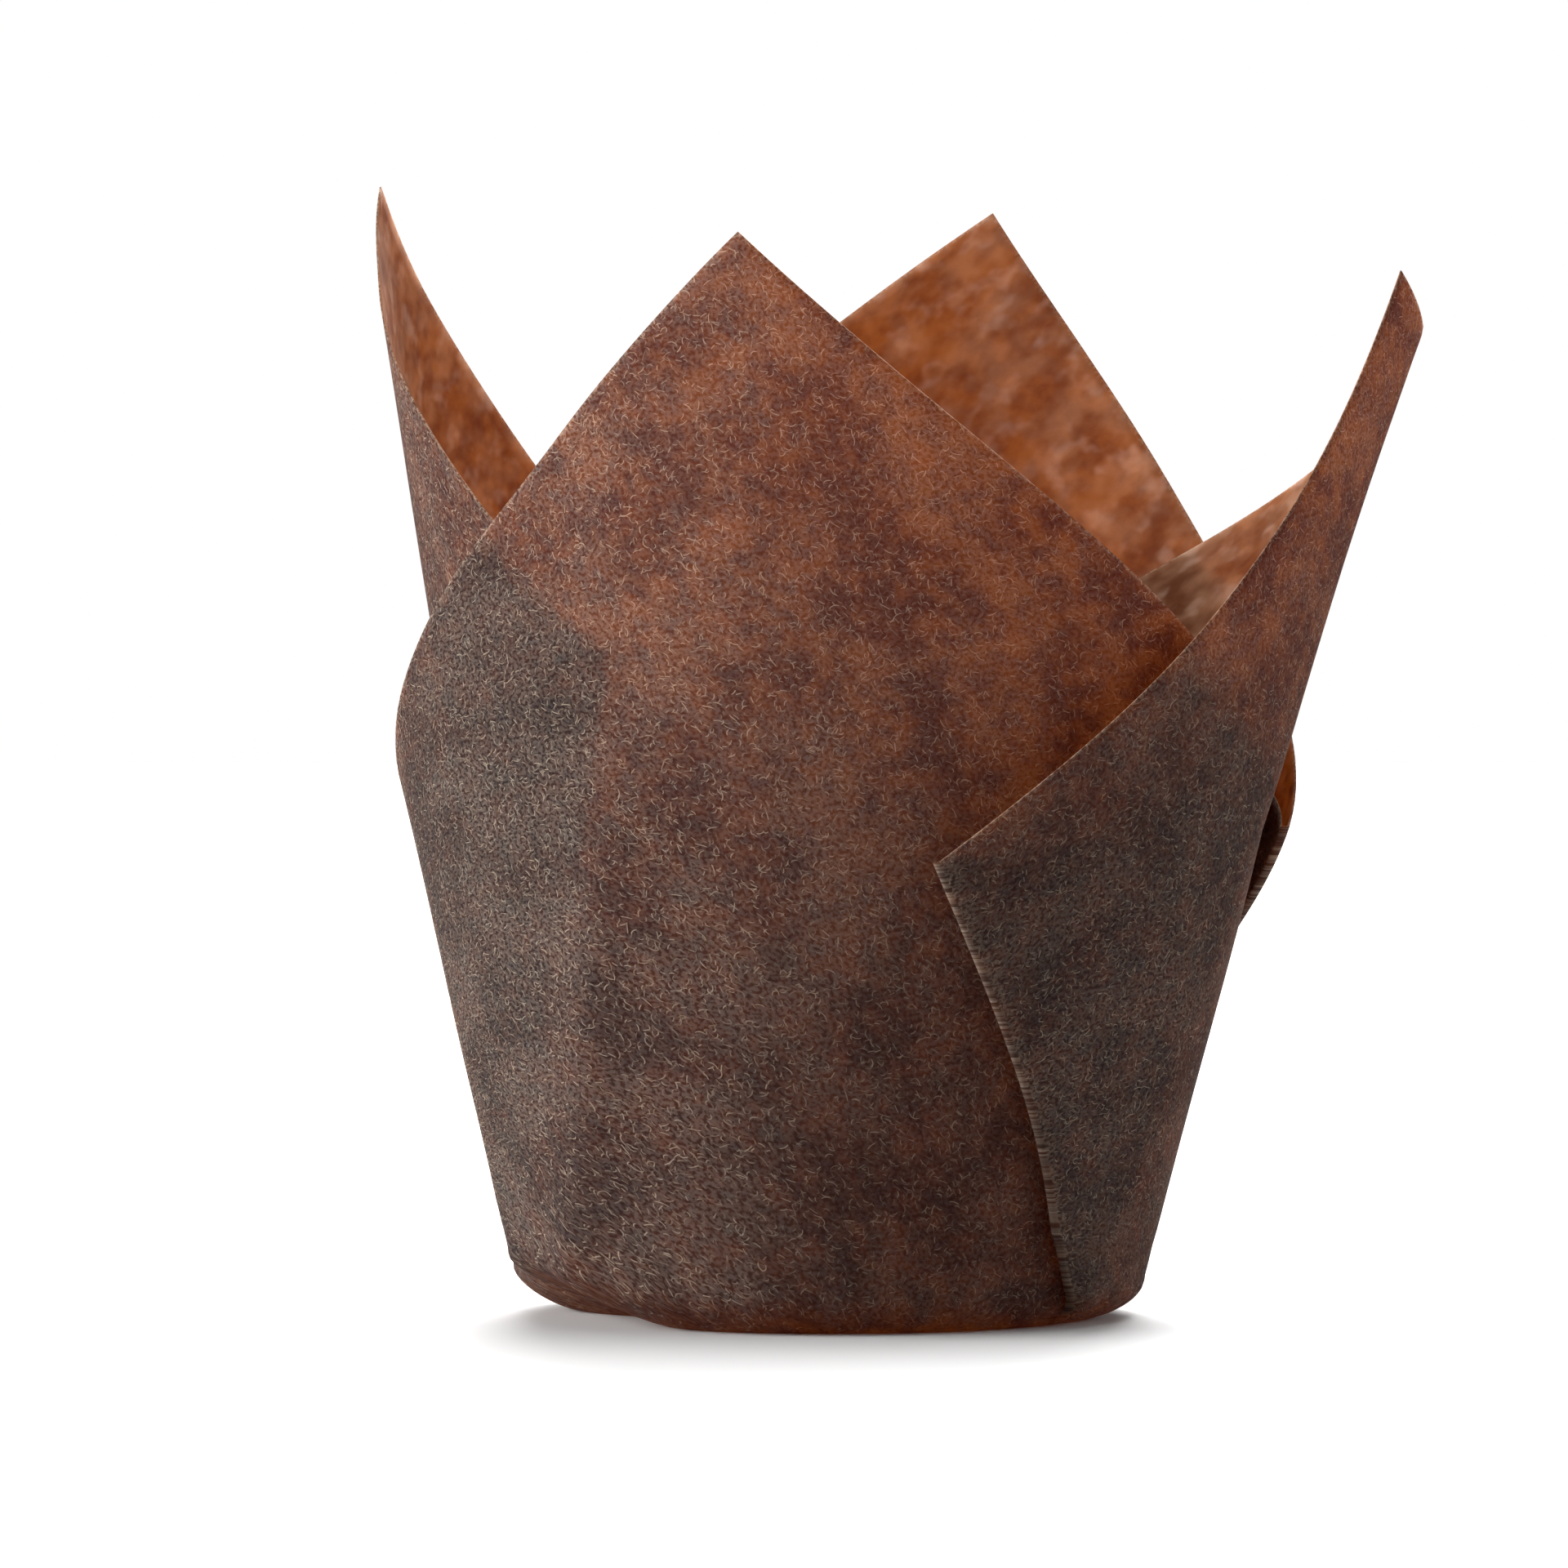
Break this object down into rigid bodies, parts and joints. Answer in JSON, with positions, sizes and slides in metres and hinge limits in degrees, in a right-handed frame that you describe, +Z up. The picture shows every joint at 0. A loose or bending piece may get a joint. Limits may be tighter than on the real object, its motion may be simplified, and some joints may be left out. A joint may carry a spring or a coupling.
{
  "type": "cupcake liner",
  "caption": "Tall pointed baking cup folded from one square sheet of paper, with a flat round base and overlapping side pleats.",
  "frame": {"origin": "middle of the flat base, on its underside", "axes": "+Z up out of the cup's mouth, -Y towards the front point, +X towards the point that leans out most"},
  "size_m": [0.0782, 0.069, 0.087],
  "materials": {
    "paper": "matt, brown through and through"
  },
  "bodies": {
    "root": {"liner": "paper"}
  },
  "joints": []
}
